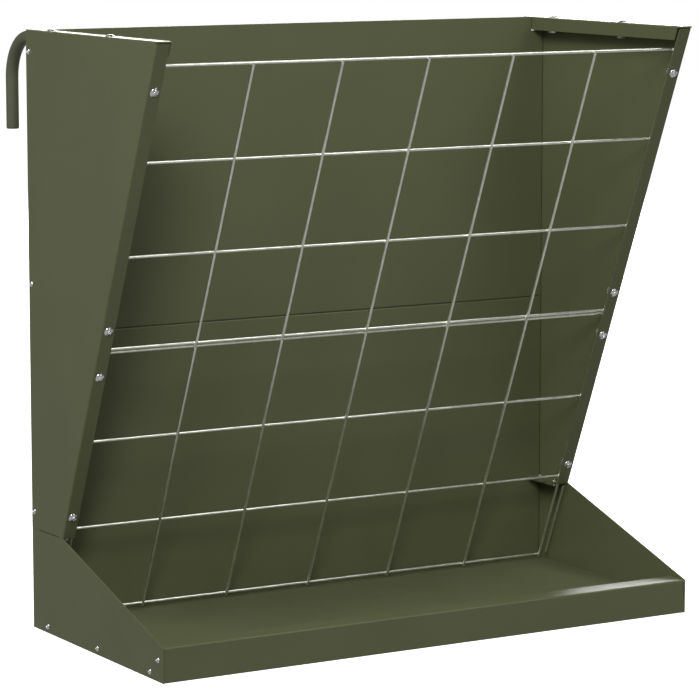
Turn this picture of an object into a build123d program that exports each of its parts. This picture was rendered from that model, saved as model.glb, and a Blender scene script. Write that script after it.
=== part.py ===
from build123d import *
import math
import os

# Hay rack feeder: a sheet-steel hopper with a slanted wire grid in front, a
# shallow feed tray below it and two hooks that hang it over a fence rail.
# Millimetres, +Z up, +Y towards the fence, +X to the right of an animal's view.
# The shapes are drawn with the rear plane at Y = 0 and moved to the row frame
# (origin at the centre of the bounding box's base) when they are written.

# ---- main sizes ----
WIDTH = 600.0                 # over the two side panels
HEIGHT = 596.5                # to the top flanges
DEPTH = 280.0                 # rear plane to the tray's front face
SHEET = 1.5                   # every panel
BEND = 1.7                    # outer radius of a fold
HALF = WIDTH / 2
INNER = HALF - SHEET          # inner face of the side panels

# ---- side panels ----
SEAM_Z = 101.0                # side panel stands on the tray side here
KNEE_Y = -68.0                # where the slanted front edge meets the tray side
TOP_FRONT_Y = -278.0          # front end of the top edge
FRONT_FLANGE = 14.0           # slanted flange the grid is screwed to
TOP_FLANGE = 16.5
TOP_LIP = 14.0                # turned-down edge of the top flange
JOINT_FLANGE = 20.0           # flanges bolted together at the seam
JOINT_REAR_Y = -17.0
JOINT_FRONT_Y = -61.5
CORNER_GAP = 0.8              # relief between two neighbouring flanges

# ---- tray ----
LIP_HEIGHT = 34.0
LIP_RIM = 24.0                # inward rim on top of the front lip
FLOOR_Z = 13.0                # top of the floor
TAB_LENGTH = 16.0

# ---- back panels ----
BACK_SPLIT_Z = 297.0
SPLIT_GAP = 0.1
SPLIT_FLANGE = 12.0           # both panels' edges fold rearwards where they meet
BACK_INSET = 15.5             # rear plane to the panels' front face; their flanges fill it
CHANNEL_REAR_Y = -15.8        # top flange's lip stops in front of the back panel
NOTCH_X = 283.2               # corner cut-outs that let the hooks through
NOTCH_Z = 581.9

# ---- wire grid ----
WIRE = 3.0
WIRE_R = WIRE / 2
CROSS_PITCH = 100.0
CROSS_COUNT = 4
LOW_CROSS_S = -93.2           # lowest cross wire, along the slant from the knee
GRID_SPLIT = 3.6              # last wire of one panel to the first of the next
UPRIGHT_PITCH = 96.2
UPRIGHT_COUNT = 7
WIRE_OVERHANG = 3.6           # cross wire past the outer upright wires
UPRIGHT_OVERHANG = 1.2        # upright wire past the end cross wires
EDGE_ROD_TOP_S = -5.0
EDGE_ROD_LOW_S = -90.0

# ---- hooks ----
HOOK_R = 6.3
HOOK_REACH = 49.5             # rear plane to the axis of the drop leg
HOOK_BEND = 42.0
HOOK_LOW_Z = 496.0
HOOK_FRONT_Y = -190.0
HOOK_END_CHAMFER = 0.8
HOOK_X = INNER - HOOK_R
HOOK_Z = HEIGHT - SHEET - HOOK_R

# ---- fasteners ----
GRID_SCREW_X = 292.5
GRID_SCREW_S = (24.0, 183.1, 234.0, 486.3)
GRID_SCREW_R = 2.0
GRID_HEAD_R = 4.8
GRID_WASHER_R = 5.75
GRID_WASHER_T = 0.8
GRID_NUT_AF = 7.0
GRID_SOCKET_AF = 3.0
HOOK_BOLT_Y = (-42.0, -168.0)
HOOK_BOLT_R = 2.5
HOOK_HEAD_R = 4.5
HOOK_HEAD_H = 1.8
HOOK_NUT_AF = 8.0
HOOK_NUT_H = 2.2
JOINT_BOLT_X = 290.4
JOINT_BOLT_Y = (-28.0, -56.0)
JOINT_BOLT_R = 2.0
JOINT_HEAD_R = 3.6
JOINT_HEAD_H = 1.9
JOINT_NUT_AF = 7.0
JOINT_NUT_H = 2.4
BACK_SCREW_Y = -5.5
BACK_SCREW_Z = (118.4, 346.5, 575.0)
TRAY_SCREW_Y = (-33.0, -143.0, -253.0)
TRAY_SCREW_Z = 6.6
LIP_SCREW_Y = -270.0
LIP_SCREW_Z = 21.0
SMALL_SCREW_R = 1.8
SMALL_HEAD_R = 3.1
SMALL_HEAD_H = 1.9
SMALL_SCREW_LENGTH = 3.8
HOLE_CLEAR = 0.15             # radius added to every drilled hole

# ---- the slanted front plane ----
SLANT_RUN = KNEE_Y - TOP_FRONT_Y
SLANT_RISE = HEIGHT - SEAM_Z
SLANT_LENGTH = math.hypot(SLANT_RUN, SLANT_RISE)
UP_Y = -SLANT_RUN / SLANT_LENGTH
UP_Z = SLANT_RISE / SLANT_LENGTH
OUT_Y = -UP_Z                 # normal of the slanted plane, away from the hay
OUT_Z = UP_Y

BEHIND = (0, -OUT_Y, -OUT_Z)
OUTWARD = (0, OUT_Y, OUT_Z)

ROW_SHIFT_Y = (DEPTH - HOOK_REACH - HOOK_R) / 2


def slant(x, s, depth):
    """Point at x, s along the slant above the knee, depth behind its front."""
    return Vector(x, KNEE_Y + UP_Y * s - OUT_Y * depth, SEAM_Z + UP_Z * s - OUT_Z * depth)


def plate(points, x_low, x_high):
    """Flat sheet given by its (y, z) outline, between two X values."""
    outline = Polyline(*[(x_low, y, z) for y, z in points], close=True)
    return extrude(make_face(outline), amount=x_high - x_low, dir=(1, 0, 0))


def front_y(z, depth):
    """Y of the slanted plane at a height, depth behind its front."""
    return KNEE_Y - (z - SEAM_Z) * SLANT_RUN / SLANT_RISE + depth / UP_Z


def box(x0, x1, y0, y1, z0, z1):
    """Box between two opposite corners."""
    size = Box(x1 - x0, y1 - y0, z1 - z0)
    return size.moved(Location(((x0 + x1) / 2, (y0 + y1) / 2, (z0 + z1) / 2)))


def fold(start, leg_a, leg_b, length_a, length_b, run):
    """Folded strip: an L with a rounded corner, drawn at start, run long.

    leg_a and leg_b point from the sharp outer corner along the two legs; the
    strip runs along leg_a x leg_b.
    """
    along = Vector(*leg_a).cross(Vector(*leg_b))
    plane = Plane(origin=start, x_dir=leg_a, z_dir=along)
    inner = BEND - SHEET
    diagonal = math.sqrt(0.5)
    outer_mid = BEND - BEND * diagonal
    inner_mid = BEND - inner * diagonal
    outline = [
        Line((length_a, 0), (BEND, 0)),
        ThreePointArc((BEND, 0), (outer_mid, outer_mid), (0, BEND)),
        Line((0, BEND), (0, length_b)),
        Line((0, length_b), (SHEET, length_b)),
        Line((SHEET, length_b), (SHEET, BEND)),
        ThreePointArc((SHEET, BEND), (inner_mid, inner_mid), (BEND, SHEET)),
        Line((BEND, SHEET), (length_a, SHEET)),
        Line((length_a, SHEET), (length_a, 0)),
    ]
    return extrude(plane * make_face(outline), amount=run)


def rod(start, end, radius):
    """Straight round bar between two points."""
    path = Vector(*end) - Vector(*start)
    return extrude(Plane(origin=start, z_dir=path) * Circle(radius), amount=path.length)


def dome(plane, radius, height, socket_af=0.0, socket_depth=0.0):
    """Button head standing on a plane, with a hexagon socket if one is asked for."""
    rim = height * 0.22
    rise = height - rim
    ball_r = (radius * radius + rise * rise) / (2 * rise)
    ball = Sphere(ball_r).moved(Location((0, 0, height - ball_r)))
    body = Cylinder(radius, height, align=(Align.CENTER, Align.CENTER, Align.MIN)) & ball
    if socket_af:
        socket = extrude(RegularPolygon(socket_af / 2, 6, major_radius=False), amount=socket_depth)
        body -= socket.moved(Location((0, 0, height - socket_depth)))
    return plane.location * body


def nut(plane, across_flats, height, bore_r):
    """Hexagon nut standing on a plane, its top corners chamfered."""
    blank = extrude(RegularPolygon(across_flats / 2, 6, major_radius=False), amount=height)
    blank &= Cone(
        across_flats * 0.52 + height, across_flats * 0.52, height,
        align=(Align.CENTER, Align.CENTER, Align.MIN),
    )
    blank -= Cylinder(bore_r, 3 * height)
    return plane.location * blank


def washer(plane, radius, height, bore_r):
    """Flat washer standing on a plane."""
    return plane.location * extrude(Circle(radius) - Circle(bore_r), amount=height)


def facing(origin, direction):
    """Plane at a point, its normal along a direction."""
    return Plane(origin=origin, z_dir=direction)


def hole(point, direction, radius, length):
    """Drill for a hole that is centred on a point."""
    shift = Vector(*direction).normalized() * (length / 2)
    return rod(Vector(*point) - shift, Vector(*point) + shift, radius)


def side_panel():
    """Right-hand hopper side: web, slanted front flange, top channel, seam flange."""
    web = plate(
        [
            (0, SEAM_Z), (0, HEIGHT - BEND),
            (front_y(HEIGHT - BEND, BEND), HEIGHT - BEND), (front_y(SEAM_Z, BEND), SEAM_Z),
        ],
        INNER, HALF,
    )
    web -= box(INNER, HALF, JOINT_FRONT_Y, JOINT_REAR_Y, SEAM_Z, SEAM_Z + BEND)
    front = fold(slant(HALF, -10, 0), BEHIND, (-1, 0, 0), 6, FRONT_FLANGE, SLANT_LENGTH + 20)
    front &= box(0, HALF, -400, 0, SEAM_Z, HEIGHT - SHEET - CORNER_GAP)

    top = fold((HALF, TOP_FRONT_Y, HEIGHT), (0, 0, -1), (-1, 0, 0), 6, TOP_FLANGE - 4, -TOP_FRONT_Y)
    lip = fold(
        (HALF - TOP_FLANGE, TOP_FRONT_Y, HEIGHT), (1, 0, 0), (0, 0, -1), 6, TOP_LIP, -TOP_FRONT_Y
    )
    lip &= box(0, HALF, TOP_FRONT_Y, CHANNEL_REAR_Y, 0, HEIGHT)
    rear_strip = box(HALF - TOP_FLANGE, HALF - BEND, CHANNEL_REAR_Y, 0, HEIGHT - SHEET, HEIGHT)
    channel = top + lip + rear_strip
    cover = channel & box(0, HALF, TOP_FRONT_Y, 0, HEIGHT - SHEET, HEIGHT)
    edge = Plane(origin=slant(0, 0, SHEET + CORNER_GAP), z_dir=BEHIND)
    channel = split(channel, edge, keep=Keep.TOP)

    seam = fold(
        (HALF, JOINT_REAR_Y, SEAM_Z), (0, 0, 1), (-1, 0, 0), 5, JOINT_FLANGE,
        JOINT_REAR_Y - JOINT_FRONT_Y,
    )
    panel = web + front + channel + cover + seam
    for s in GRID_SCREW_S:
        panel -= hole(slant(GRID_SCREW_X, s, SHEET / 2), BEHIND, GRID_SCREW_R + HOLE_CLEAR, 6)
    for y in HOOK_BOLT_Y:
        panel -= hole((HOOK_X, y, HEIGHT), (0, 0, 1), HOOK_BOLT_R + HOLE_CLEAR, 8)
    for y in JOINT_BOLT_Y:
        panel -= hole((JOINT_BOLT_X, y, SEAM_Z), (0, 0, 1), JOINT_BOLT_R + HOLE_CLEAR, 8)
    for z in BACK_SCREW_Z:
        panel -= hole((INNER, BACK_SCREW_Y, z), (1, 0, 0), SMALL_SCREW_R + HOLE_CLEAR, 6)
    return panel


def tray_side():
    """Right-hand tray side: a sloping sheet with a flange under the hopper side."""
    web = plate(
        [(0, 0), (0, SEAM_Z), (KNEE_Y, SEAM_Z), (-DEPTH, LIP_HEIGHT), (-DEPTH, 0)], INNER, HALF
    )
    web -= box(INNER, HALF, JOINT_FRONT_Y, JOINT_REAR_Y, SEAM_Z - BEND, SEAM_Z)
    seam = fold(
        (HALF, JOINT_FRONT_Y, SEAM_Z), (0, 0, -1), (-1, 0, 0), 5, JOINT_FLANGE,
        JOINT_REAR_Y - JOINT_FRONT_Y,
    )
    side = web + seam
    for y in JOINT_BOLT_Y:
        side -= hole((JOINT_BOLT_X, y, SEAM_Z), (0, 0, 1), JOINT_BOLT_R + HOLE_CLEAR, 8)
    for y in TRAY_SCREW_Y:
        side -= hole((INNER, y, TRAY_SCREW_Z), (1, 0, 0), SMALL_SCREW_R + HOLE_CLEAR, 8)
    side -= hole((INNER, LIP_SCREW_Y, LIP_SCREW_Z), (1, 0, 0), SMALL_SCREW_R + HOLE_CLEAR, 8)
    return side


def tray_pan():
    """Tray floor with turned-down flanges and a front lip with an inward rim."""
    flange_rear_y = -BACK_INSET - 2 * BEND
    floor = box(
        BEND - INNER, INNER - BEND, -DEPTH + SHEET, -BACK_INSET - BEND, FLOOR_Z - SHEET, FLOOR_Z
    )
    ear = box(INNER - 2 * BEND, INNER, flange_rear_y, 0, 0, FLOOR_Z)
    flange = fold(
        (INNER, flange_rear_y, FLOOR_Z), (-1, 0, 0), (0, 0, -1), 5, FLOOR_Z,
        DEPTH + flange_rear_y - 2 * SHEET,
    )
    rear_half = INNER - 2 * BEND
    rear = fold(
        (-rear_half, -BACK_INSET, FLOOR_Z), (0, -1, 0), (0, 0, -1), 6, FLOOR_Z, 2 * rear_half
    )
    hem = box(-INNER, INNER, -DEPTH, 2 * SHEET - DEPTH, 0, FLOOR_Z)
    hem = fillet(hem.edges().filter_by(Axis.X).group_by(Axis.Z)[0], SHEET * 0.95)
    rim = fold(
        (INNER, -DEPTH, LIP_HEIGHT), (0, 1, 0), (0, 0, -1), LIP_RIM, LIP_HEIGHT - SHEET, 2 * INNER
    )
    tab_top = LIP_HEIGHT - SHEET - CORNER_GAP
    tab_low = FLOOR_Z + CORNER_GAP
    corner = box(INNER - BEND, INNER, -DEPTH, SHEET - DEPTH, tab_low, tab_top)
    tab = fold((INNER, -DEPTH, tab_top), (-1, 0, 0), (0, 1, 0), 5, TAB_LENGTH, tab_top - tab_low)
    pan = floor - ear - mirror(ear, about=Plane.YZ) + rear + hem
    pan += rim - corner - mirror(corner, about=Plane.YZ)
    for piece in (flange, tab):
        pan += piece
        pan += mirror(piece, about=Plane.YZ)
    for x in (-INNER, INNER):
        for y in TRAY_SCREW_Y:
            pan -= hole((x, y, TRAY_SCREW_Z), (1, 0, 0), SMALL_SCREW_R + HOLE_CLEAR, 8)
        pan -= hole((x, LIP_SCREW_Y, LIP_SCREW_Z), (1, 0, 0), SMALL_SCREW_R + HOLE_CLEAR, 8)
    return pan


def back_panel(z_low, z_high, upper):
    """Inset back panel with side flanges folded rearwards against the side panels."""
    panel = box(BEND - INNER, INNER - BEND, -BACK_INSET, SHEET - BACK_INSET, z_low, z_high)
    flange = fold(
        (INNER, -BACK_INSET, z_high), (-1, 0, 0), (0, 1, 0), 6, BACK_INSET, z_high - z_low
    )
    panel += flange
    panel += mirror(flange, about=Plane.YZ)
    half = INNER - 2 * BEND
    if upper:
        bend_low, start, inward = z_low, (half, -BACK_INSET, z_low), (0, 0, 1)
    else:
        bend_low, start, inward = z_high - BEND, (-half, -BACK_INSET, z_high), (0, 0, -1)
    panel -= box(-half, half, -BACK_INSET, SHEET - BACK_INSET, bend_low, bend_low + BEND)
    panel += fold(start, inward, (0, 1, 0), 6, SPLIT_FLANGE, 2 * half)
    if upper:
        corner = box(NOTCH_X, HALF, -DEPTH, DEPTH, NOTCH_Z, z_high + 1)
        panel -= corner
        panel -= mirror(corner, about=Plane.YZ)
    for z in BACK_SCREW_Z:
        if z_low < z < z_high:
            for x in (-INNER, INNER):
                panel -= hole((x, BACK_SCREW_Y, z), (1, 0, 0), SMALL_SCREW_R + HOLE_CLEAR, 8)
    return panel


def hook():
    """Right-hand hook: a round bar bolted in the top channel and bent down behind."""
    front = (HOOK_X, HOOK_FRONT_Y, HOOK_Z)
    bend_in = (HOOK_X, HOOK_REACH - HOOK_BEND, HOOK_Z)
    middle = HOOK_BEND * math.sqrt(0.5)
    bend_mid = (HOOK_X, bend_in[1] + middle, HOOK_Z - HOOK_BEND + middle)
    bend_out = (HOOK_X, HOOK_REACH, HOOK_Z - HOOK_BEND)
    low = (HOOK_X, HOOK_REACH, HOOK_LOW_Z)
    path = Line(front, bend_in) + ThreePointArc(bend_in, bend_mid, bend_out) + Line(bend_out, low)
    bar = sweep(Plane(origin=front, z_dir=(0, 1, 0)) * Circle(HOOK_R), path=path)
    bar = chamfer(bar.faces().sort_by(Axis.Z)[0].edges(), HOOK_END_CHAMFER)
    for y in HOOK_BOLT_Y:
        bar -= hole((HOOK_X, y, HOOK_Z), (0, 0, 1), HOOK_BOLT_R + HOLE_CLEAR, 4 * HOOK_R)
    return bar


def cross_wires(lowest):
    """The horizontal wires of one grid panel, from its lowest wire up."""
    reach = UPRIGHT_PITCH * (UPRIGHT_COUNT - 1) / 2 + WIRE_OVERHANG
    depth = SHEET + 3 * WIRE_R
    wires = []
    for row in range(CROSS_COUNT):
        s = lowest + row * CROSS_PITCH
        wires.append(rod(slant(-reach, s, depth), slant(reach, s, depth), WIRE_R))
    return wires


def upright_wires(lowest):
    """The slanted wires of one grid panel, in front of its cross wires."""
    highest = lowest + (CROSS_COUNT - 1) * CROSS_PITCH
    depth = SHEET + WIRE_R
    wires = []
    for column in range(UPRIGHT_COUNT):
        x = (column - (UPRIGHT_COUNT - 1) / 2) * UPRIGHT_PITCH
        low = slant(x, lowest - UPRIGHT_OVERHANG, depth)
        wires.append(rod(low, slant(x, highest + UPRIGHT_OVERHANG, depth), WIRE_R))
    return wires


def edge_rod():
    """Thin rod on the right-hand tray side that closes the gap beside the grid."""
    x = INNER - WIRE_R
    depth = SHEET + WIRE_R
    return rod(slant(x, EDGE_ROD_LOW_S, depth), slant(x, EDGE_ROD_TOP_S, depth), WIRE_R)


def grid_fasteners():
    """Right-hand screws, washers and nuts that clamp the grid to the front flange."""
    screws = []
    washers = []
    nuts = []
    for s in GRID_SCREW_S:
        x = GRID_SCREW_X
        back_of_wire = SHEET + WIRE
        head = dome(facing(slant(x, s, 0), OUTWARD), GRID_HEAD_R, 2.6, GRID_SOCKET_AF, 1.4)
        screws.append(head + rod(slant(x, s, 0), slant(x, s, 10.5), GRID_SCREW_R))
        seat = facing(slant(x, s, back_of_wire), BEHIND)
        bore = GRID_SCREW_R + HOLE_CLEAR
        washers.append(washer(seat, GRID_WASHER_R, GRID_WASHER_T, bore))
        seat = facing(slant(x, s, back_of_wire + GRID_WASHER_T), BEHIND)
        nuts.append(nut(seat, GRID_NUT_AF, 3.2, bore))
    return screws, washers, nuts


def hook_fasteners():
    """Right-hand bolts and nuts that clamp the hook under the top flange."""
    bolts = []
    nuts = []
    low = HOOK_Z - HOOK_R
    for y in HOOK_BOLT_Y:
        head = dome(facing((HOOK_X, y, HEIGHT), (0, 0, 1)), HOOK_HEAD_R, HOOK_HEAD_H)
        tip = (HOOK_X, y, low - HOOK_NUT_H - 0.3)
        bolts.append(head + rod((HOOK_X, y, HEIGHT), tip, HOOK_BOLT_R))
        seat = facing((HOOK_X, y, low), (0, 0, -1))
        nuts.append(nut(seat, HOOK_NUT_AF, HOOK_NUT_H, HOOK_BOLT_R + HOLE_CLEAR))
    return bolts, nuts


def joint_fasteners():
    """Right-hand bolts and nuts that join the two flanges at the seam."""
    bolts = []
    nuts = []
    top = SEAM_Z + SHEET
    low = SEAM_Z - SHEET
    for y in JOINT_BOLT_Y:
        seat = facing((JOINT_BOLT_X, y, top), (0, 0, 1))
        head = dome(seat, JOINT_HEAD_R, JOINT_HEAD_H, 2.5, 1.1)
        tip = (JOINT_BOLT_X, y, low - JOINT_NUT_H - 0.4)
        bolts.append(head + rod((JOINT_BOLT_X, y, top), tip, JOINT_BOLT_R))
        seat = facing((JOINT_BOLT_X, y, low), (0, 0, -1))
        nuts.append(nut(seat, JOINT_NUT_AF, JOINT_NUT_H, JOINT_BOLT_R + HOLE_CLEAR))
    return bolts, nuts


def side_screws(points):
    """Right-hand screws driven in from the outer face at (y, z) points."""
    screws = []
    for y, z in points:
        head = dome(facing((HALF, y, z), (1, 0, 0)), SMALL_HEAD_R, SMALL_HEAD_H)
        screws.append(head + rod((HALF, y, z), (HALF - SMALL_SCREW_LENGTH, y, z), SMALL_SCREW_R))
    return screws


def left(piece):
    """The left-hand twin of a right-hand piece."""
    return mirror(piece, about=Plane.YZ)


def both(pieces):
    """Right-hand pieces followed by their left-hand twins."""
    return pieces + [left(piece) for piece in pieces]


def save(name, pieces):
    """Write one node, every piece a separate solid in the row frame."""
    solids = []
    for piece in pieces:
        moved = piece.moved(Location((0, ROW_SHIFT_Y, 0)))
        solids.extend(moved.solids())
    shape = solids[0] if len(solids) == 1 else Compound(children=solids)
    export_step(shape, f"parts/{name}.step")


os.makedirs("parts", exist_ok=True)

right_side = side_panel()
right_tray = tray_side()
right_hook = hook()
right_rod = edge_rod()
grid_screws, grid_washers, grid_nuts = grid_fasteners()
hook_bolts, hook_nuts = hook_fasteners()
joint_bolts, joint_nuts = joint_fasteners()
upper_lowest = LOW_CROSS_S + (CROSS_COUNT - 1) * CROSS_PITCH + GRID_SPLIT
back_points = [(BACK_SCREW_Y, z) for z in BACK_SCREW_Z]
tray_points = [(y, TRAY_SCREW_Z) for y in TRAY_SCREW_Y] + [(LIP_SCREW_Y, LIP_SCREW_Z)]

save("right_side_panel", [right_side])
save("left_side_panel", [left(right_side)])
save("right_tray_side", [right_tray])
save("left_tray_side", [left(right_tray)])
save("tray_pan", [tray_pan()])
save("lower_back_panel", [back_panel(0, BACK_SPLIT_Z - SPLIT_GAP / 2, False)])
save("upper_back_panel", [back_panel(BACK_SPLIT_Z + SPLIT_GAP / 2, HEIGHT, True)])
save("right_hook", [right_hook])
save("left_hook", [left(right_hook)])
save("lower_grid_cross_wires", cross_wires(LOW_CROSS_S))
save("lower_grid_upright_wires", upright_wires(LOW_CROSS_S))
save("upper_grid_cross_wires", cross_wires(upper_lowest))
save("upper_grid_upright_wires", upright_wires(upper_lowest))
save("right_edge_rod", [right_rod])
save("left_edge_rod", [left(right_rod)])
save("grid_screws", both(grid_screws))
save("grid_washers", both(grid_washers))
save("grid_nuts", both(grid_nuts))
save("hook_bolts", both(hook_bolts))
save("hook_nuts", both(hook_nuts))
save("joint_bolts", both(joint_bolts))
save("joint_nuts", both(joint_nuts))
save("back_screws", both(side_screws(back_points)))
save("tray_screws", both(side_screws(tray_points)))
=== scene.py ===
import math
from collections import namedtuple

import bmesh
import bpy
from bpy.props import FloatProperty, FloatVectorProperty, IntProperty, PointerProperty
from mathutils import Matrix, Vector


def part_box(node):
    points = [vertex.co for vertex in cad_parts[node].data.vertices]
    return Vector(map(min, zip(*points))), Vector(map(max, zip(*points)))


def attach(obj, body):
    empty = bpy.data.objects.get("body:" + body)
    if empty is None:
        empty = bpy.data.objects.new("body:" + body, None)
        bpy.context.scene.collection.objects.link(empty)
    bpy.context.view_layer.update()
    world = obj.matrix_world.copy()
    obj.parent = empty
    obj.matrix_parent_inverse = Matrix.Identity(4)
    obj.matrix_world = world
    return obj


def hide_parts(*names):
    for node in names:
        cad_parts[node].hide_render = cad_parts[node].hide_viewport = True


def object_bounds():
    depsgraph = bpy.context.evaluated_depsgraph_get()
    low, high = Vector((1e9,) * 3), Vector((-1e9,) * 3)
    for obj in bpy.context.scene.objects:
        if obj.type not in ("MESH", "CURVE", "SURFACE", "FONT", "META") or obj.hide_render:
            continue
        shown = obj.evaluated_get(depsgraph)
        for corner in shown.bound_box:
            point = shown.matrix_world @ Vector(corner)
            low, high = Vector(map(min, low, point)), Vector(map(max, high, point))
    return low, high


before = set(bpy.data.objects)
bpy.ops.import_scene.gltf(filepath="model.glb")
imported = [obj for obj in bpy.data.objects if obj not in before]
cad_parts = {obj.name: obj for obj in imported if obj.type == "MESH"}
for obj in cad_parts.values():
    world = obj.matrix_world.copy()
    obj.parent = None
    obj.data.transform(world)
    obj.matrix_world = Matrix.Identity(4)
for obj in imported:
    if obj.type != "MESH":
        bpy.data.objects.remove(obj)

bl_info = {
    "name": "Hay rack feeder",
    "version": (1, 0, 0),
    "blender": (4, 5, 0),
    "location": "3D View > Sidebar > Hay rack",
    "description": "Builds the coated sheets, galvanised grid, hooks and fasteners of a hay rack",
    "category": "Object",
}

MM = 0.001
TAU = 2 * math.pi
CAD_LOW, CAD_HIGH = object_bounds()

SHEETS = (
    "right_side_panel", "left_side_panel", "right_tray_side", "left_tray_side",
    "tray_pan", "lower_back_panel", "upper_back_panel",
)
GRIDS = ("upper", "lower")
SIDES = ("right", "left")

# The CAD meshes are loose triangles: points this close together are one point.
SAME_POINT = 0.004 * MM
SLIVER = 0.002 * MM
FLAT_ANGLE = math.radians(0.6)
CUT_EDGE_ANGLE = math.radians(40)

# Angles in degrees past which an edge between smooth faces stays crisp.
SHEET_CREASE = 30
BAR_CREASE = 35
FASTENER_CREASE = 28

# A hook's facet length, and the size of its cut ends against the bar's own radius.
HOOK_STEP = 1.2 * MM
HOOK_END = 0.9
BEND_POINTS = 28
WANDER_SCALE = 9.0
NUGGET_SIDES = 12
NUGGET_RINGS = 8

SCREW_SIDES = 36
HEAD_RINGS = 7
WASHER_SIDES = 40
NUT_CHAMFER = 0.3 * MM
NUT_CLEARANCE = 0.15
WASHER_SOFT_RIM = 0.2 * MM

# Sizes in millimetres. The plain length is the smooth shank under the head, and a
# socket of zero means a plain dome. A tip of None takes the CAD solid's own length.
Screw = namedtuple("Screw", "head_r head_h shank_r plain socket socket_depth tip")
GRID_SCREW = Screw(4.8, 2.6, 2.0, 5.0, 3.0, 1.4, 10.5)
HOOK_BOLT = Screw(4.5, 1.8, 2.5, 14.0, 0.0, 0.0, None)
JOINT_BOLT = Screw(3.6, 1.9, 2.0, 3.0, 2.5, 1.1, None)
SIDE_SCREW = Screw(3.1, 1.9, 1.8, 1.6, 2.0, 1.0, None)

Nut = namedtuple("Nut", "across_flats height shank_r")
GRID_NUT = Nut(7.0, 3.2, 2.0)
HOOK_NUT = Nut(8.0, 2.2, 2.5)
JOINT_NUT = Nut(7.0, 2.4, 2.0)

Washer = namedtuple("Washer", "radius height bore_r")
GRID_WASHER = Washer(5.75, 0.8, 2.15)

# How far, in radians, a nut is free to stand turned from its neighbours.
GRID_NUT_SPIN = math.pi / 3
UPRIGHT_NUT_SPIN = 0.3

WHITE = (1.0, 1.0, 1.0, 1.0)
SENSOR_WIDTH = 36.0
FLOOR_RADIUS = 9.0
FLOOR_GAP = 0.2 * MM
FLOOR_EMISSION = 0.97
# Where the world's light turns from the floor's glow to the room's, as a direction's Z.
FLOOR_EDGE_LOW = -0.12
FLOOR_EDGE_HIGH = 0.05
# Place and width in metres of each light. Its power is the stage setting of its name.
SOFT_LIGHTS = {
    "overhead": ((1.2, -0.9, 2.7), 1.1),
    "high_left": ((-1.7, -0.6, 2.8), 1.6),
    "key": ((-2.7, -3.9, 2.7), 1.4),
    "side": ((-3.0, 0.2, 1.2), 1.8),
    "fill": ((1.2, -3.4, 1.4), 1.6),
    "back": ((2.2, 3.6, 1.3), 1.8),
}


# ---------------------------------------------------------------- properties

class HayRackSheets(bpy.types.PropertyGroup):
    """Finish of the folded sheets' edges."""

    edge_round: FloatProperty(
        name="Edge round", description="Rounding that the coating gives a cut edge",
        default=0.28 * MM, min=0.0, subtype="DISTANCE", unit="LENGTH",
    )
    edge_steps: IntProperty(
        name="Edge steps", description="Faces across a rounded edge", default=2, min=1, max=4,
    )


class HayRackGrid(bpy.types.PropertyGroup):
    """Wire panels and the rods beside them."""

    wire_step: FloatProperty(
        name="Wire step", description="Length of one facet along a wire",
        default=2.0 * MM, min=0.5 * MM, subtype="DISTANCE", unit="LENGTH",
    )
    wire_sides: IntProperty(
        name="Wire sides", description="Facets round a wire", default=14, min=6, max=32,
    )
    wire_wander: FloatProperty(
        name="Wire wander", description="How far a drawn wire leaves a straight line",
        default=0.12 * MM, min=0.0, subtype="DISTANCE", unit="LENGTH",
    )
    end_round: FloatProperty(
        name="End round", description="Size of a cut wire end against the wire's own radius",
        default=0.78, min=0.2, max=1.0, subtype="FACTOR",
    )
    weld_spread: FloatProperty(
        name="Weld spread", description="Radius of the pressed metal at a welded crossing",
        default=1.9 * MM, min=0.0, subtype="DISTANCE", unit="LENGTH",
    )
    weld_height: FloatProperty(
        name="Weld height", description="Half thickness of the pressed metal at a crossing",
        default=0.75 * MM, min=0.0, subtype="DISTANCE", unit="LENGTH",
    )


class HayRackHooks(bpy.types.PropertyGroup):
    """The two round-bar hooks."""

    bar_sides: IntProperty(
        name="Bar sides", description="Facets round the bar", default=40, min=12, max=64,
    )
    bend_radius: FloatProperty(
        name="Bend radius", description="Radius of the bend along the bar's axis",
        default=42.0 * MM, min=8 * MM, subtype="DISTANCE", unit="LENGTH",
    )


class HayRackFinishes(bpy.types.PropertyGroup):
    """Colours of the coats and metals."""

    coat: FloatVectorProperty(
        name="Coat", description="Olive powder coat on the sheets", subtype="COLOR",
        size=3, min=0.0, max=1.0, default=(0.102, 0.1125, 0.0555),
    )
    hook_coat: FloatVectorProperty(
        name="Hook coat", description="Coat on the two hooks", subtype="COLOR",
        size=3, min=0.0, max=1.0, default=(0.090, 0.0955, 0.060),
    )
    galvanised: FloatVectorProperty(
        name="Galvanised", description="Zinc layer on the wires", subtype="COLOR",
        size=3, min=0.0, max=1.0, default=(0.86, 0.87, 0.78),
    )
    bright_zinc: FloatVectorProperty(
        name="Bright zinc", description="Plating on screws, washers and nuts", subtype="COLOR",
        size=3, min=0.0, max=1.0, default=(0.80, 0.81, 0.82),
    )
    coat_roughness: FloatProperty(
        name="Coat roughness", description="Gloss of the powder coat, 0 is a mirror",
        default=0.42, min=0.0, max=1.0, subtype="FACTOR",
    )


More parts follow.
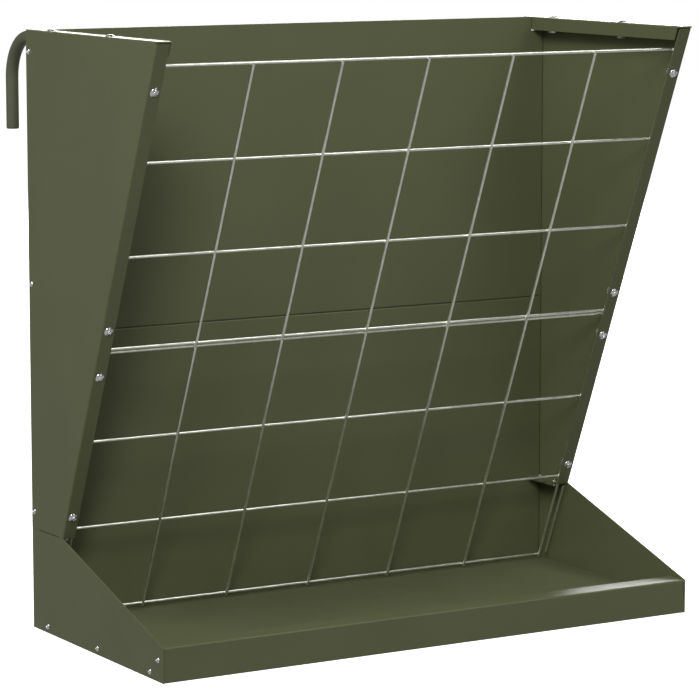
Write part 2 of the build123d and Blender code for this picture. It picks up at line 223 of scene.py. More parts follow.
class HayRackStudio(bpy.types.PropertyGroup):
    """Camera, lights and floor."""

    lens: FloatProperty(
        name="Lens", description="Focal length in millimetres on a 36 mm sensor",
        default=173.4, min=20.0, max=400.0, subtype="UNSIGNED",
    )
    camera_place: FloatVectorProperty(
        name="Camera place", description="Where the camera stands", size=3,
        default=(-1.7141, -2.8917, 0.7522), subtype="TRANSLATION", unit="LENGTH",
    )
    camera_turn: FloatProperty(
        name="Camera turn", description="Heading of the camera, clockwise from +Y",
        default=math.radians(30.686), subtype="ANGLE", unit="ROTATION",
    )
    camera_tilt: FloatProperty(
        name="Camera tilt", description="How far the camera looks down",
        default=math.radians(8.131), subtype="ANGLE", unit="ROTATION",
    )
    ambient: FloatProperty(
        name="Ambient", description="Brightness of the dim room above the floor's level",
        default=0.06, min=0.0, max=5.0, subtype="UNSIGNED",
    )
    glow: FloatProperty(
        name="Floor glow", description="Brightness that the floor lends to the rack from below",
        default=0.40, min=0.0, max=5.0, subtype="UNSIGNED",
    )
    overhead: FloatProperty(
        name="Overhead", description="Power of the soft light above on the right in watts",
        default=24.0, min=0.0, max=2000.0, subtype="UNSIGNED",
    )
    high_left: FloatProperty(
        name="High left", description="Power of the soft light high on the left in watts",
        default=52.0, min=0.0, max=2000.0, subtype="UNSIGNED",
    )
    key: FloatProperty(
        name="Key", description="Power of the soft light at the front left in watts",
        default=130.0, min=0.0, max=2000.0, subtype="UNSIGNED",
    )
    side: FloatProperty(
        name="Side", description="Power of the soft light at the far left in watts",
        default=11.0, min=0.0, max=2000.0, subtype="UNSIGNED",
    )
    fill: FloatProperty(
        name="Fill", description="Power of the front fill light in watts",
        default=9.0, min=0.0, max=2000.0, subtype="UNSIGNED",
    )
    back: FloatProperty(
        name="Back", description="Power of the soft light behind the rack in watts",
        default=110.0, min=0.0, max=2000.0, subtype="UNSIGNED",
    )


# ------------------------------------------------------------------ materials

class Graph:
    """Adds and joins the nodes of one tree."""

    def __init__(self, tree):
        self.tree = tree

    def add(self, kind, **settings):
        node = self.tree.nodes.new(kind)
        for key, value in settings.items():
            setattr(node, key, value)
        return node

    def link(self, a, out, b, into):
        self.tree.links.new(a.outputs[out], b.inputs[into])

    def remap(self, source, out, low, high, to_low=0.0, to_high=1.0):
        node = self.add("ShaderNodeMapRange")
        for key, value in (
            ("From Min", low), ("From Max", high), ("To Min", to_low), ("To Max", to_high)
        ):
            node.inputs[key].default_value = value
        self.link(source, out, node, "Value")
        return node


class Finish(Graph):
    """A material's node tree round one shader, its patterns on Object coordinates."""

    FIRST, SECOND, MIXED = 6, 7, 2

    def __init__(self, name):
        self.material = bpy.data.materials.new(name)
        self.material.use_nodes = True
        super().__init__(self.material.node_tree)
        self.tree.nodes.clear()
        out = self.add("ShaderNodeOutputMaterial")
        self.shader = self.add("ShaderNodeBsdfPrincipled")
        self.link(self.shader, "BSDF", out, "Surface")
        self.place = self.add("ShaderNodeTexCoord")

    def noise(self, scale, detail, rough=0.55):
        node = self.add("ShaderNodeTexNoise")
        node.inputs["Scale"].default_value = scale
        node.inputs["Detail"].default_value = detail
        node.inputs["Roughness"].default_value = rough
        self.link(self.place, "Object", node, "Vector")
        return node

    def blend(self, factor, first, second, mode="MIX"):
        """Blends two colours or colour nodes by a number or a (node, output) pair."""
        node = self.add("ShaderNodeMix", data_type="RGBA", blend_type=mode)
        if isinstance(factor, tuple):
            self.link(*factor, node, 0)
        else:
            node.inputs[0].default_value = factor
        for socket, colour in ((self.FIRST, first), (self.SECOND, second)):
            if isinstance(colour, tuple):
                node.inputs[socket].default_value = colour
            else:
                self.link(colour, self.MIXED, node, socket)
        return node

    def colour_from(self, blended):
        self.link(blended, self.MIXED, self.shader, "Base Color")

    def bump(self, source, strength, distance):
        node = self.add("ShaderNodeBump")
        node.inputs["Strength"].default_value = strength
        node.inputs["Distance"].default_value = distance
        self.link(source, "Fac", node, "Height")
        self.link(node, "Normal", self.shader, "Normal")


def shade(colour, factor):
    """A colour made lighter or darker, as RGBA."""
    return tuple(min(1.0, c * factor) for c in colour) + (1.0,)


def powder_coat(name, colour, roughness, peel):
    """Satin powder coat: faint orange peel, fine grain and a slow drift of tone."""
    coat = Finish(name)
    drift = coat.remap(coat.noise(scale=5.0, detail=2.0), "Fac", low=0.3, high=0.7)
    body = coat.blend((drift, "Result"), shade(colour, 0.95), shade(colour, 1.05))
    grain = coat.remap(coat.noise(scale=900.0, detail=2.0), "Fac", low=0.35, high=0.65)
    white = WHITE[:3]
    fine = coat.blend((grain, "Result"), shade(white, 0.94), shade(white, 1.0))
    coat.colour_from(coat.blend(1.0, body, fine, "MULTIPLY"))
    patchy = coat.noise(scale=14.0, detail=4.0)
    soft = coat.remap(patchy, "Fac", 0.3, 0.7, to_low=roughness - 0.04, to_high=roughness + 0.05)
    coat.link(soft, "Result", coat.shader, "Roughness")
    coat.shader.inputs["IOR"].default_value = 1.45
    coat.shader.inputs["Specular IOR Level"].default_value = 0.25
    coat.bump(coat.noise(scale=420.0, detail=2.0, rough=0.5), strength=0.5, distance=peel)
    return coat.material


def zinc(name, colour, roughness, spangle, drift):
    """Zinc-coated steel with faint crystal patches and a little dull bloom."""
    metal = Finish(name)
    cells = metal.add("ShaderNodeTexVoronoi")
    cells.inputs["Scale"].default_value = spangle
    metal.link(metal.place, "Object", cells, "Vector")
    patch = metal.add("ShaderNodeSeparateColor")
    metal.link(cells, "Color", patch, "Color")
    dim, lit = shade(colour, 1 - drift), shade(colour, 1 + drift * 0.6)
    tone = metal.blend((patch, "Red"), dim, lit)
    bloom = metal.noise(scale=90.0, detail=4.0)
    veil = metal.remap(bloom, "Fac", 0.45, 0.75, to_high=0.5)
    metal.colour_from(metal.blend((veil, "Result"), tone, shade(colour, 0.82)))
    dull = metal.remap(bloom, "Fac", 0.3, 0.75, to_low=roughness - 0.06, to_high=roughness + 0.10)
    metal.link(dull, "Result", metal.shader, "Roughness")
    metal.shader.inputs["Metallic"].default_value = 1.0
    metal.bump(metal.noise(scale=1500.0, detail=2.0), strength=0.4, distance=0.01 * MM)
    return metal.material


def finish_of(name):
    """The material with this name, made on first use."""
    found = bpy.data.materials.get(name)
    if found:
        return found
    colours = bpy.context.scene.hay_rack_finishes
    if name == "olive_powder_coat":
        return powder_coat(name, tuple(colours.coat), colours.coat_roughness, peel=0.018 * MM)
    if name == "hook_coat":
        return powder_coat(name, tuple(colours.hook_coat), roughness=0.38, peel=0.03 * MM)
    if name == "galvanised_wire":
        return zinc(name, tuple(colours.galvanised), roughness=0.36, spangle=160.0, drift=0.10)
    if name == "bright_zinc":
        return zinc(name, tuple(colours.bright_zinc), roughness=0.24, spangle=500.0, drift=0.05)
    raise ValueError(f"no finish is called {name}")


# ------------------------------------------------------------- mesh and frame

def new_piece(name, mesh, slot, *nodes):
    """A finished piece that rides on the rack and stands for CAD nodes, if any."""
    piece = bpy.data.objects.new(name, mesh)
    bpy.context.scene.collection.objects.link(piece)
    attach(piece, "root")
    if nodes:
        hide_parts(*nodes)
    return piece


def merged_mesh(node):
    """A copy of a CAD node's mesh with its loose triangles joined at their corners."""
    cage = bmesh.new()
    cage.from_mesh(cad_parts[node].data)
    bmesh.ops.remove_doubles(cage, verts=cage.verts, dist=SAME_POINT)
    return cage


def flat_faced(node):
    """A merged copy of a CAD node's mesh with one face for each flat."""
    cage = merged_mesh(node)
    bmesh.ops.dissolve_degenerate(cage, dist=SLIVER, edges=cage.edges)
    bmesh.ops.dissolve_limit(
        cage, angle_limit=FLAT_ANGLE, use_dissolve_boundaries=False,
        verts=cage.verts, edges=cage.edges,
    )
    return cage


def round_cut_edges(cage, width, steps):
    """Rounds the sharp edges whose ends meet no edge too short to take the rounding."""
    room = 4 * width

    def cut(edge):
        return edge.is_manifold and edge.calc_face_angle() > CUT_EDGE_ANGLE

    chosen = [
        edge for edge in cage.edges
        if cut(edge) and all(e.calc_length() > room for v in edge.verts for e in v.link_edges)
    ]
    bmesh.ops.bevel(
        cage, geom=chosen, offset=width, offset_type="OFFSET", segments=steps, profile=0.5,
        affect="EDGES", clamp_overlap=True,
    )


def solids_of(node):
    """The separate solids of a CAD node, each as a list of its corner points."""
    cage = merged_mesh(node)
    seen = set()
    solids = []
    for start in cage.verts:
        if start in seen:
            continue
        seen.add(start)
        queue = [start]
        points = []
        while queue:
            vert = queue.pop()
            points.append(vert.co.copy())
            for edge in vert.link_edges:
                other = edge.other_vert(vert)
                if other not in seen:
                    seen.add(other)
                    queue.append(other)
        solids.append(points)
    cage.free()
    return solids


def axis_span(points, axis):
    """Point on a solid's axis at its low end, and its length along the axis."""
    axis = axis.normalized()
    along = [p.dot(axis) for p in points]
    helper = Vector((1, 0, 0)) if abs(axis.x) < 0.9 else Vector((0, 1, 0))
    side = axis.cross(helper).normalized()
    across = axis.cross(side)
    a = [p.dot(side) for p in points]
    b = [p.dot(across) for p in points]
    centre = side * (min(a) + max(a)) / 2 + across * (min(b) + max(b)) / 2
    return centre + axis * min(along), max(along) - min(along)


def grid_rows(which):
    """Centres of a grid's cross wires from the lowest up, their radius and their span in X."""
    node = f"{which}_grid_cross_wires"
    low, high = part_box(node)
    wires = solids_of(node)
    heights = [p.z for p in wires[0]]
    radius = (max(heights) - min(heights)) / 2
    first = Vector((0, high.y - radius, low.z + radius))
    last = Vector((0, low.y + radius, high.z - radius))
    rows = [first.lerp(last, k / (len(wires) - 1)) for k in range(len(wires))]
    return rows, radius, (low.x, high.x)


def slant_directions():
    """Unit vectors up the slanted grid and out of its front."""
    rows, _, _ = grid_rows("upper")
    up = (rows[-1] - rows[0]).normalized()
    return up, Vector((0, -up.z, up.y))


# ------------------------------------------------------------- geometry nodes

class Growth(Graph):
    """A geometry node tree with named inputs for its sizes."""

    def __init__(self, name, **inputs):
        super().__init__(bpy.data.node_groups.new(name, "GeometryNodeTree"))
        self.tree.is_modifier = True
        for way in ("INPUT", "OUTPUT"):
            self.socket("Geometry", "NodeSocketGeometry", way)
        for key, kind in inputs.items():
            self.socket(key.replace("_", " ").capitalize(), "NodeSocket" + kind, "INPUT")
        self.start = self.add("NodeGroupInput")
        self.end = self.add("NodeGroupOutput")

    def socket(self, name, kind, way):
        self.tree.interface.new_socket(name, in_out=way, socket_type=kind)

    def close(self, geometry, out):
        """Ends the tree in real geometry with its material."""
        real = self.add("GeometryNodeRealizeInstances")
        painted = self.add("GeometryNodeSetMaterial")
        self.link(geometry, out, real, "Geometry")
        self.link(real, "Geometry", painted, "Geometry")
        self.link(self.start, "Material", painted, "Material")
        self.link(painted, "Geometry", self.end, "Geometry")
        return self.tree


def grown_mesh(name, group, base, sizes):
    """Runs a geometry node tree on a base mesh and returns its result as a plain mesh."""
    holder = bpy.data.objects.new(name + "_grower", base)
    bpy.context.scene.collection.objects.link(holder)
    modifier = holder.modifiers.new("grow", "NODES")
    modifier.node_group = group
    sockets = {
        item.name: item.identifier for item in group.interface.items_tree
        if item.item_type == "SOCKET" and item.in_out == "INPUT"
    }
    for key, value in sizes.items():
        modifier[sockets[key]] = value
    holder.update_tag()
    bpy.context.view_layer.update()
    graph = bpy.context.evaluated_depsgraph_get()
    mesh = bpy.data.meshes.new_from_object(holder.evaluated_get(graph), depsgraph=graph)
    holder.modifiers.remove(modifier)
    bpy.data.objects.remove(holder)
    mesh.name = name
    if not mesh.polygons:
        raise RuntimeError(f"{name} came out of its geometry nodes empty")
    return mesh


def bar_tree(name):
    """A round bar along every line of the base mesh, its cut ends rounded."""
    tree = Growth(
        name, radius="Float", sides="Int", step="Float", bend_radius="Float",
        end_round="Float", wander="Float", material="Material",
    )
    lines = tree.add("GeometryNodeMeshToCurve")
    tree.link(tree.start, "Geometry", lines, "Mesh")
    bend = tree.add("GeometryNodeFilletCurve", mode="POLY")
    bend.inputs["Count"].default_value = BEND_POINTS
    bend.inputs["Limit Radius"].default_value = True
    tree.link(lines, "Curve", bend, "Curve")
    tree.link(tree.start, "Bend radius", bend, "Radius")
    evened = tree.add("GeometryNodeResampleCurve", mode="LENGTH")
    tree.link(bend, "Curve", evened, "Curve")
    tree.link(tree.start, "Step", evened, "Length")
    place = tree.add("GeometryNodeInputPosition")
    noise = tree.add("ShaderNodeTexNoise", noise_dimensions="3D")
    noise.inputs["Scale"].default_value = WANDER_SCALE
    noise.inputs["Detail"].default_value = 0.0
    tree.link(place, "Position", noise, "Vector")
    centred = tree.add("ShaderNodeVectorMath", operation="SUBTRACT")
    centred.inputs[1].default_value = (0.5, 0.5, 0.5)
    tree.link(noise, "Color", centred, 0)
    amount = tree.add("ShaderNodeVectorMath", operation="SCALE")
    tree.link(centred, "Vector", amount, 0)
    tree.link(tree.start, "Wander", amount, "Scale")
    moved = tree.add("GeometryNodeSetPosition")
    tree.link(evened, "Curve", moved, "Geometry")
    tree.link(amount, "Vector", moved, "Offset")
    tips = tree.add("GeometryNodeCurveEndpointSelection")
    sized = tree.add("GeometryNodeSetCurveRadius")
    sized.inputs["Radius"].default_value = 1.0
    tree.link(moved, "Geometry", sized, "Curve")
    tipped = tree.add("GeometryNodeSetCurveRadius")
    tree.link(sized, "Curve", tipped, "Curve")
    tree.link(tips, "Selection", tipped, "Selection")
    tree.link(tree.start, "End round", tipped, "Radius")
    ring = tree.add("GeometryNodeCurvePrimitiveCircle", mode="RADIUS")
    tree.link(tree.start, "Sides", ring, "Resolution")
    tree.link(tree.start, "Radius", ring, "Radius")
    tube = tree.add("GeometryNodeCurveToMesh")
    tube.inputs["Fill Caps"].default_value = True
    tree.link(tipped, "Curve", tube, "Curve")
    tree.link(ring, "Curve", tube, "Profile Curve")
    width = tree.add("GeometryNodeInputRadius")
    tree.link(width, "Radius", tube, "Scale")
    return tree.close(tube, "Mesh")


def copies_tree(name):
    """A copy of a template at every point, its axis along the point's own facing."""
    tree = Growth(name, template="Object", spin_seed="Int", spin="Float", material="Material")
    points = tree.add("GeometryNodeMeshToPoints")
    tree.link(tree.start, "Geometry", points, "Mesh")
    facing = tree.add("GeometryNodeInputNamedAttribute", data_type="FLOAT_VECTOR")
    facing.inputs["Name"].default_value = "facing"
    turned = tree.add("FunctionNodeAlignRotationToVector", axis="Z")
    tree.link(facing, "Attribute", turned, "Vector")
    chance = tree.add("FunctionNodeRandomValue", data_type="FLOAT")
    tree.link(tree.start, "Spin seed", chance, "Seed")
    scaled = tree.add("ShaderNodeMath", operation="MULTIPLY")
    tree.link(chance, 1, scaled, 0)
    tree.link(tree.start, "Spin", scaled, 1)
    spin = tree.add("FunctionNodeAxisAngleToRotation")
    spin.inputs["Axis"].default_value = (0, 0, 1)
    tree.link(scaled, "Value", spin, "Angle")
    both = tree.add("FunctionNodeRotateRotation", rotation_space="LOCAL")
    tree.link(turned, "Rotation", both, "Rotation")
    tree.link(spin, "Rotation", both, "Rotate By")
    template = tree.add("GeometryNodeObjectInfo", transform_space="ORIGINAL")
    template.inputs["As Instance"].default_value = True
    tree.link(tree.start, "Template", template, "Object")
    placed = tree.add("GeometryNodeInstanceOnPoints")
    tree.link(points, "Points", placed, "Points")
    tree.link(template, "Geometry", placed, "Instance")
    tree.link(both, "Rotation", placed, "Rotation")
    return tree.close(placed, "Instances")


def shared_tree(name, maker):
    """A node tree that several operators use, built once."""
    return bpy.data.node_groups.get(name) or maker(name)


def line_mesh(name, paths):
    """A mesh of open lines, each through its own points."""
    verts = []
    edges = []
    for path in paths:
        first = len(verts)
        verts.extend(tuple(p) for p in path)
        edges.extend((first + i, first + i + 1) for i in range(len(path) - 1))
    mesh = bpy.data.meshes.new(name)
    mesh.from_pydata(verts, edges, [])
    return mesh


def bars(name, paths, radius, finish, sides, step, end_round, wander=0.0, bend_radius=0.0):
    """Round bars along paths, grown by geometry nodes."""
    sizes = {
        "Radius": radius, "Sides": sides, "Step": step, "Bend radius": bend_radius,
        "End round": end_round, "Wander": wander, "Material": finish_of(finish),
    }
    group = shared_tree("bar_along_lines", bar_tree)
    mesh = grown_mesh(name, group, line_mesh(name + "_lines", paths), sizes)
    smooth(mesh, BAR_CREASE)
    return mesh


def copies(name, template, places, finish, seed, spin=TAU):
    """Copies of a template mesh, one at every (point, facing) place."""
    base = bpy.data.meshes.new(name + "_points")
    base.from_pydata([tuple(point) for point, _ in places], [], [])
    facing = base.attributes.new("facing", "FLOAT_VECTOR", "POINT")
    for index, (_, direction) in enumerate(places):
        facing.data[index].vector = direction
    model = bpy.data.objects.new(name + "_template", template)
    sizes = {
        "Template": model, "Spin seed": seed, "Spin": spin, "Material": finish_of(finish),
    }
    group = shared_tree("copies_at_points", copies_tree)
    mesh = grown_mesh(name, group, base, sizes)
    bpy.data.objects.remove(model)
    smooth(mesh, FASTENER_CREASE)
    return mesh


def smooth(mesh, degrees):
    """Smooth shading with edges sharper than an angle kept crisp."""
    mesh.shade_smooth()
    mesh.set_sharp_from_angle(angle=math.radians(degrees))


# --------------------------------------------------------- turned metal parts

def ring_of_points(shape, ring, sides):
    """The points of a (radius, height) ring, or of a ring given as a function of angle."""
    if not callable(ring) and ring[0] == 0:
        return [shape.verts.new((0, 0, ring[1]))]
    row = []
    for k in range(sides):
        angle = TAU * k / sides
        radius, height = ring(angle) if callable(ring) else ring
        row.append(shape.verts.new((radius * math.cos(angle), radius * math.sin(angle), height)))
    return row


def turned(name, rings, sides, bored=False):
    """Closed turned part on +Z. A bored part's last ring joins its first."""
    shape = bmesh.new()
    rows = [ring_of_points(shape, ring, sides) for ring in rings]
    after = rows[1:] + rows[:1] if bored else rows[1:]
    for low, high in zip(rows, after):
        for k in range(sides):
            j = (k + 1) % sides
            corners = (
                low[k % len(low)], low[j % len(low)], high[j % len(high)], high[k % len(high)]
            )
            shape.faces.new(tuple(dict.fromkeys(corners)))
    bmesh.ops.recalc_face_normals(shape, faces=shape.faces)
    mesh = bpy.data.meshes.new(name)
    shape.to_mesh(mesh)
    shape.free()
    return mesh


def hexagon(across_flats, height):
    """Ring function of a hexagon at a height."""
    def ring(angle):
        turn = (angle + math.pi / 6) % (math.pi / 3) - math.pi / 6
        return across_flats / 2 / math.cos(turn), height
    return ring


def clipped_hexagon(across_flats, height, limit, slope, upward):
    """Hexagon ring whose corners fall away as a 30 degree chamfer."""
    corner = hexagon(across_flats, height)

    def ring(angle):
        radius, level = corner(angle)
        drop = max(0.0, radius - limit) * slope
        return radius, level - drop if upward else level + drop
    return ring


def threads(radius, start, end):
    """Rings of a rolled thread from start down to end, with a chamfered tip.

    A crest is about a sixth of the pitch wide, and the flanks and root take the rest.
    """
    pitch = 0.7 * MM
    depth = 0.22 * MM
    chamfer = 0.4 * MM
    rings = []
    level = start
    while level - pitch > end + chamfer:
        rings += [
            (radius - depth, level), (radius, level - pitch * 0.38),
            (radius, level - pitch * 0.55), (radius - depth, level - pitch * 0.93),
        ]
        level -= pitch
    rings += [(radius - depth * 1.2, level), (radius - depth * 2.6, end)]
    return rings


def socket_rings(flats, depth, top):
    """Rings of a hexagon socket from its drilled bottom up to its rounded mouth."""
    return [
        (0, top - depth - 0.25 * MM),
        hexagon(flats * 0.96, top - depth),
        hexagon(flats, top - 0.22 * MM),
        (flats * 0.62, top - 0.02 * MM),
    ]


def dome_rings(radius, height, rim, inner, top):
    """Rings down a domed head from an inner radius out to its rim."""
    rise = height - rim
    ball = (radius ** 2 + rise ** 2) / (2 * rise)
    rings = []
    for k in range(HEAD_RINGS):
        out = inner + (radius * 0.985 - inner) * k / (HEAD_RINGS - 1)
        rings.append((out, min(height - ball + math.sqrt(ball ** 2 - out ** 2), top)))
    return rings


def button_screw(name, sizes, tip):
    """Button-head screw on +Z: head above zero, shank down to -tip."""
    head_r, head_h, shank_r, plain, socket, socket_depth = (size * MM for size in sizes[:6])
    rim = head_h * 0.2
    if socket:
        rings = socket_rings(socket, socket_depth, head_h)
        rings += dome_rings(head_r, head_h, rim, socket * 0.66, head_h - 0.03 * MM)
    else:
        rings = [(0, head_h)]
        rings += dome_rings(head_r, head_h, rim, head_r * 0.2, head_h)
    rings += [(head_r, rim * 0.85), (head_r, rim * 0.3), (head_r * 0.97, 0.0)]
    rings += [(shank_r, 0.0), (shank_r, -plain)]
    rings += threads(shank_r, -plain, -tip)
    rings.append((0, -tip))
    return turned(name, rings, SCREW_SIDES)


def hex_nut(name, sizes):
    """Chamfered hexagon nut on +Z from zero to its height."""
    flats, height = sizes.across_flats * MM, sizes.height * MM
    bore = (sizes.shank_r + NUT_CLEARANCE) * MM
    limit = flats * 0.515
    slope = math.tan(math.radians(30))
    skim = 0.02 * MM
    rings = [
        (bore, NUT_CHAMFER), (bore + NUT_CHAMFER, 0.0), (limit * 0.97, 0.0),
        clipped_hexagon(flats, skim, limit, slope, False),
        clipped_hexagon(flats, height - skim, limit, slope, True),
        (limit * 0.97, height), (bore + NUT_CHAMFER, height), (bore, height - NUT_CHAMFER),
    ]
    return turned(name, rings, SCREW_SIDES, bored=True)


def flat_washer(name, sizes):
    """Punched washer on +Z: one rim rounded by the punch, the other crisp."""
    radius, height, bore = (size * MM for size in sizes)
    soft = WASHER_SOFT_RIM
    rings = [
        (bore, 0.0), (radius - soft * 0.3, 0.0), (radius, soft * 0.3), (radius, height - soft),
        (radius - soft * 0.35, height - soft * 0.35), (radius - soft, height),
        (bore + soft, height), (bore, height - soft),
    ]
    return turned(name, rings, WASHER_SIDES, bored=True)


def weld_nugget(spread, height):
    """The small pressed lump of metal at a welded crossing, as a flattened ball."""
    rings = [(0, -height)]
    for k in range(1, NUGGET_RINGS):
        angle = math.pi * k / NUGGET_RINGS
        rings.append((spread * math.sin(angle), -height * math.cos(angle)))
    rings.append((0, height))
    return turned("weld_nugget", rings, NUGGET_SIDES)


def set_copies(node, template, places, seed, spin):
    """Zinc-plated copies at their places, in place of a CAD node."""
    mesh = copies(node + "_zinc", template, places, "bright_zinc", seed, spin)
    new_piece(node + "_zinc", mesh, "zinc_fastener", node)


def set_screws(node, sizes, facing, seed):
    """Screws in place of a CAD node's solids. Facing gives the way a solid's head looks."""
    places = []
    for points in solids_of(node):
        out = facing(points)
        foot, length = axis_span(points, out)
        under_head = length - sizes.head_h * MM
        places.append((foot + out * under_head, out))
    tip = under_head if sizes.tip is None else sizes.tip * MM
    set_copies(node, button_screw(node + "_one", sizes, tip), places, seed, TAU)


def set_rings(node, template, axis, seed, spin=TAU):
    """Nuts or washers in place of a CAD node's solids, all on one axis."""
    places = [(axis_span(points, axis)[0], axis) for points in solids_of(node)]
    set_copies(node, template, places, seed, spin)


# ------------------------------------------------------------------ operators

class HAYRACK_OT_sheets(bpy.types.Operator):
    """Round the edges of the folded sheets and give them their coat"""

    bl_idname = "hay_rack.sheets"
    bl_label = "Folded sheets"

    def execute(self, context):
        props = context.scene.hay_rack_sheets
        for node in SHEETS:
            cage = flat_faced(node)
            round_cut_edges(cage, props.edge_round, props.edge_steps)
            mesh = bpy.data.meshes.new(node + "_coated")
            cage.to_mesh(mesh)
            cage.free()
            smooth(mesh, SHEET_CREASE)
            mesh.materials.append(finish_of("olive_powder_coat"))
            piece = new_piece(node + "_coated", mesh, "olive_panel", node)
            even = piece.modifiers.new("even_shading", "WEIGHTED_NORMAL")
            even.keep_sharp = True
        return {"FINISHED"}


class HAYRACK_OT_grids(bpy.types.Operator):
    """Grow the two welded wire panels and the rods beside them"""

    bl_idname = "hay_rack.grids"
    bl_label = "Wire grids"

    def wires(self, props, node, paths, radius, wander):
        """One piece of galvanised wires in place of a CAD node."""
        mesh = bars(
            node + "_zinc", paths, radius, "galvanised_wire", props.wire_sides,
            props.wire_step, props.end_round, wander,
        )
        new_piece(node + "_zinc", mesh, "grid_wire", node)

    def execute(self, context):
        props = context.scene.hay_rack_grid
        up, out = slant_directions()
        for which in GRIDS:
            rows, radius, (x_low, x_high) = grid_rows(which)
            paths = [
                [Vector((x_low, p.y, p.z)), Vector((x_high, p.y, p.z))] for p in rows
            ]
            node = f"{which}_grid_cross_wires"
            self.wires(props, node, paths, radius, props.wire_wander)

            node = f"{which}_grid_upright_wires"
            paths = []
            crossings = []
            for points in solids_of(node):
                foot, length = axis_span(points, up)
                paths.append([foot, foot + up * length])
                for row in rows:
                    level = foot + up * (row - foot).dot(up)
                    crossings.append((level - out * radius, out))
            self.wires(props, node, paths, radius, props.wire_wander)

            nugget = weld_nugget(props.weld_spread, props.weld_height)
            name = f"{which}_grid_welds"
            mesh = copies(name, nugget, crossings, "galvanised_wire", seed=3)
            new_piece(name, mesh, "grid_wire")
        for side in SIDES:
            node = f"{side}_edge_rod"
            foot, length = axis_span(solids_of(node)[0], up)
            low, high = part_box(node)
            self.wires(props, node, [[foot, foot + up * length]], (high.x - low.x) / 2, 0.0)
        return {"FINISHED"}


class HAYRACK_OT_hooks(bpy.types.Operator):
    """Bend the two round-bar hooks"""

    bl_idname = "hay_rack.hooks"
    bl_label = "Hooks"

    def execute(self, context):
        props = context.scene.hay_rack_hooks
        for side in SIDES:
            node = f"{side}_hook"
            low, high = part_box(node)
            radius = (high.x - low.x) / 2
            x = (low.x + high.x) / 2
            path = [
                Vector((x, low.y, high.z - radius)),
                Vector((x, high.y - radius, high.z - radius)),
                Vector((x, high.y - radius, low.z)),
            ]
            mesh = bars(
                node + "_bar", [path], radius, "hook_coat", props.bar_sides, HOOK_STEP,
                HOOK_END, bend_radius=props.bend_radius,
            )
            new_piece(node + "_bar", mesh, "hook_steel", node)
        return {"FINISHED"}


class HAYRACK_OT_grid_fasteners(bpy.types.Operator):
    """Set the screws, washers and nuts that clamp the wire grids"""

    bl_idname = "hay_rack.grid_fasteners"
    bl_label = "Grid fasteners"

    def execute(self, context):
        _, out = slant_directions()
        set_screws("grid_screws", GRID_SCREW, lambda points: out, seed=11)
        set_rings("grid_washers", flat_washer("grid_washer", GRID_WASHER), out, seed=12)
        set_rings("grid_nuts", hex_nut("grid_nut", GRID_NUT), out, seed=13, spin=GRID_NUT_SPIN)
        return {"FINISHED"}


class HAYRACK_OT_upright_fasteners(bpy.types.Operator):
    """Set the vertical bolts and nuts of the hooks and of the side joints"""

    bl_idname = "hay_rack.upright_fasteners"
    bl_label = "Hook and joint fasteners"

    def execute(self, context):
        up = Vector((0, 0, 1))
        for kind, bolt, nut, seed in (
            ("hook", HOOK_BOLT, HOOK_NUT, 21), ("joint", JOINT_BOLT, JOINT_NUT, 23)
        ):
            set_screws(f"{kind}_bolts", bolt, lambda points: up, seed)
            nut_mesh = hex_nut(f"{kind}_nut", nut)
            set_rings(f"{kind}_nuts", nut_mesh, up, seed + 1, UPRIGHT_NUT_SPIN)
        return {"FINISHED"}


class HAYRACK_OT_side_screws(bpy.types.Operator):
    """Set the button-head screws in the outer faces"""

    bl_idname = "hay_rack.side_screws"
    bl_label = "Side screws"

    def execute(self, context):
        def sideways(points):
            return Vector((math.copysign(1.0, points[0].x), 0, 0))

        for seed, node in enumerate(("back_screws", "tray_screws"), 31):
            set_screws(node, SIDE_SCREW, sideways, seed)
        return {"FINISHED"}


def studio_world(ambient, glow):
    """A white backdrop for the camera in a dim room that lights and mirrors in the rack."""
    world = bpy.data.worlds.new("studio_world")
    world.use_nodes = True
    room = Graph(world.node_tree)
    room.tree.nodes.clear()
    out = room.add("ShaderNodeOutputWorld")
    choice = room.add("ShaderNodeMixShader")
    seen = room.add("ShaderNodeLightPath")
    paper = room.add("ShaderNodeBackground")
    walls = room.add("ShaderNodeBackground")
    for shader in (paper, walls):
        shader.inputs["Color"].default_value = WHITE
    place = room.add("ShaderNodeTexCoord")
    split = room.add("ShaderNodeSeparateXYZ")
    room.link(place, "Generated", split, "Vector")
    level = room.remap(split, "Z", FLOOR_EDGE_LOW, FLOOR_EDGE_HIGH, glow, ambient)
    room.link(level, "Result", walls, "Strength")
    room.link(seen, "Is Camera Ray", choice, 0)
    room.link(walls, "Background", choice, 1)
    room.link(paper, "Background", choice, 2)
    room.link(choice, "Shader", out, "Surface")
    bpy.context.scene.world = world


def studio_floor():
    """A pale disc under the rack that neither tints nor mirrors in it."""
    mesh = bpy.data.meshes.new("studio_floor")
    disc = bmesh.new()
    bmesh.ops.create_circle(disc, cap_ends=True, segments=96, radius=FLOOR_RADIUS)
    disc.to_mesh(mesh)
    disc.free()
    floor = bpy.data.objects.new("studio_floor", mesh)
    floor.location.z = CAD_LOW.z - FLOOR_GAP
    floor.visible_diffuse = False
    floor.visible_glossy = False
    bpy.context.scene.collection.objects.link(floor)
    paper = Finish("studio_paper")
    white = WHITE[:3]
    grain = paper.noise(scale=30.0, detail=2.0)
    paper.colour_from(paper.blend((grain, "Fac"), shade(white, 0.86), shade(white, 0.88)))
    paper.shader.inputs["Roughness"].default_value = 0.9
    paper.shader.inputs["Emission Color"].default_value = WHITE
    paper.shader.inputs["Emission Strength"].default_value = FLOOR_EMISSION
    mesh.materials.append(paper.material)
    return floor


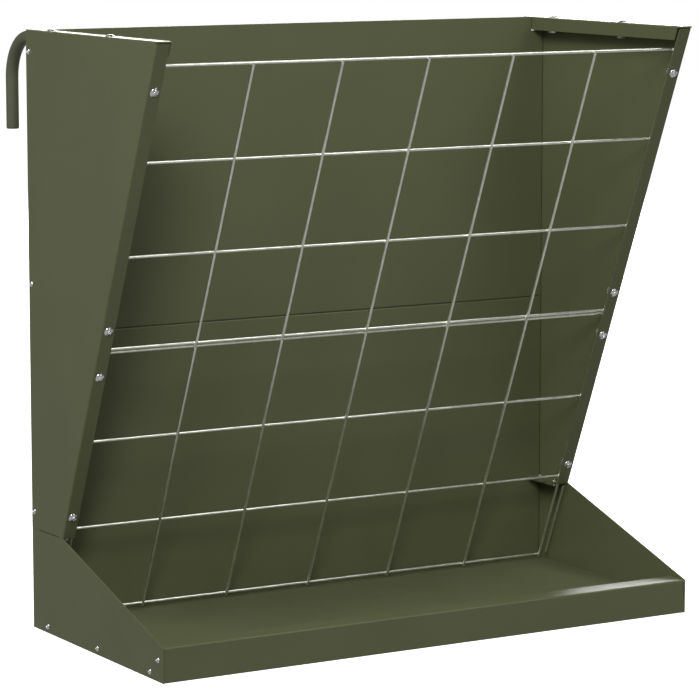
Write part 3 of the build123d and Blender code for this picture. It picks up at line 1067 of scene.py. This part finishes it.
def soft_light(name, place, width, power):
    """A round soft light that looks at the middle of the rack."""
    lamp = bpy.data.lights.new(name, "AREA")
    lamp.shape = "DISK"
    lamp.size = width
    lamp.energy = power
    holder = bpy.data.objects.new(name, lamp)
    holder.location = place
    aim = (CAD_LOW + CAD_HIGH) / 2 - Vector(place)
    holder.rotation_euler = aim.to_track_quat("-Z", "Y").to_euler()
    bpy.context.scene.collection.objects.link(holder)


class HAYRACK_OT_stage(bpy.types.Operator):
    """Set up the pale floor, the soft lights and the camera"""

    bl_idname = "hay_rack.stage"
    bl_label = "Stage"

    def execute(self, context):
        props = context.scene.hay_rack_studio
        studio_floor()
        studio_world(props.ambient, props.glow)
        for key, (place, width) in SOFT_LIGHTS.items():
            soft_light(key + "_light", place, width, getattr(props, key))

        camera = bpy.data.cameras.new("studio_camera")
        camera.lens = props.lens
        camera.sensor_width = SENSOR_WIDTH
        camera.clip_start = 0.05
        camera.clip_end = 60.0
        stand = bpy.data.objects.new("studio_camera", camera)
        stand.location = props.camera_place
        stand.rotation_euler = (math.pi / 2 - props.camera_tilt, 0, -props.camera_turn)
        context.scene.collection.objects.link(stand)
        context.scene.camera = stand
        context.scene.view_settings.view_transform = "Standard"
        return {"FINISHED"}


class HAYRACK_PT_sidebar(bpy.types.Panel):
    """Lists the steps that build the rack"""

    bl_label = "Hay rack"
    bl_idname = "HAYRACK_PT_sidebar"
    bl_space_type = "VIEW_3D"
    bl_region_type = "UI"
    bl_category = "Hay rack"

    def draw(self, context):
        for group in ("sheets", "grid", "hooks", "finishes", "studio"):
            props = getattr(context.scene, f"hay_rack_{group}")
            box = self.layout.box()
            for key in props.bl_rna.properties.keys():
                if key not in ("rna_type", "name"):
                    box.prop(props, key)
        for step in STEPS:
            self.layout.operator(step.bl_idname)


GROUPS = {
    "hay_rack_sheets": HayRackSheets,
    "hay_rack_grid": HayRackGrid,
    "hay_rack_hooks": HayRackHooks,
    "hay_rack_finishes": HayRackFinishes,
    "hay_rack_studio": HayRackStudio,
}
STEPS = (
    HAYRACK_OT_sheets, HAYRACK_OT_grids, HAYRACK_OT_hooks, HAYRACK_OT_grid_fasteners,
    HAYRACK_OT_upright_fasteners, HAYRACK_OT_side_screws, HAYRACK_OT_stage,
)


def register():
    for name, group in GROUPS.items():
        bpy.utils.register_class(group)
        setattr(bpy.types.Scene, name, PointerProperty(type=group))
    for step in STEPS:
        bpy.utils.register_class(step)
    bpy.utils.register_class(HAYRACK_PT_sidebar)


def unregister():
    bpy.utils.unregister_class(HAYRACK_PT_sidebar)
    for step in reversed(STEPS):
        bpy.utils.unregister_class(step)
    for name, group in reversed(GROUPS.items()):
        delattr(bpy.types.Scene, name)
        bpy.utils.unregister_class(group)


def main():
    register()
    for step in STEPS:
        area, name = step.bl_idname.split(".")
        result = getattr(getattr(bpy.ops, area), name)()
        if result != {"FINISHED"}:
            raise RuntimeError(f"{step.bl_idname} did not finish")


if __name__ == "__main__":
    main()
